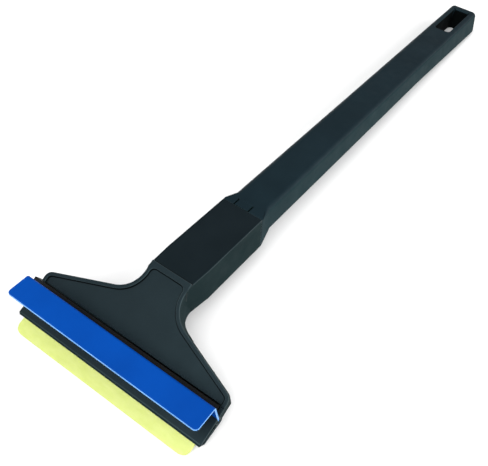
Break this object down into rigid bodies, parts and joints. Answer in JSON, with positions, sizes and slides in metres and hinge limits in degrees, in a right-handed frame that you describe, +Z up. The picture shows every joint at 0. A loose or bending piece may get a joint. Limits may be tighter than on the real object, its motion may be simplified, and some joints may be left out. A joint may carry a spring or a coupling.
{
  "type": "squeegee applicator",
  "caption": "Long hollow handle in a T-shaped head with an angled scraper blade, held by a lock strip, and a soft squeegee blade under the nose.",
  "frame": {"origin": "on the table under the middle of the tool's length, in the plane that halves the head", "axes": "+X along the blades, towards the open end of the scraper's channel; +Y from the blades to the hanging end; +Z up from the table the tool lies on"},
  "size_m": [0.156, 0.6008, 0.048],
  "materials": {
    "black_plastic": "satin",
    "blue_plastic": "gloss",
    "strip_plastic": "matte",
    "soft_blade": "satin",
    "screw_steel": "satin",
    "insert_brass": "satin"
  },
  "bodies": {
    "head": {"head_body": "black_plastic", "clamp_jaw": "black_plastic", "jaw_screws": "screw_steel", "jaw_inserts": "insert_brass"},
    "scraper": {"scraper_blade": "blue_plastic"},
    "lock": {"lock_strip": "strip_plastic"},
    "squeegee": {"squeegee_blade": "soft_blade"},
    "handle": {"handle_tube": "black_plastic"},
    "tongue": {"latch_tongue": "black_plastic"}
  },
  "joints": [
    {"name": "scraper_slide", "type": "slide", "parent": "head", "child": "scraper", "axis": [1, 0, 0], "range_m": [0, 0.155]},
    {"name": "lock_strip_slide", "type": "slide", "parent": "head", "child": "lock", "axis": [-1, 0, 0], "range_m": [0, 0.155]},
    {"name": "squeegee_slide", "type": "slide", "parent": "head", "child": "squeegee", "axis": [1, 0, 0], "range_m": [0, 0.15]},
    {"name": "handle_slide", "type": "slide", "parent": "head", "child": "handle", "axis": [0, 0.9991, -0.0426], "range_m": [0, 0.06]},
    {"name": "latch_tongue_press", "type": "hinge", "parent": "handle", "child": "tongue", "pos_m": [-0.002, -0.14021, 0.04068], "axis": [1, 0, 0], "range_deg": [0, 7], "stiffness_Nm_per_rad": 1.2}
  ]
}
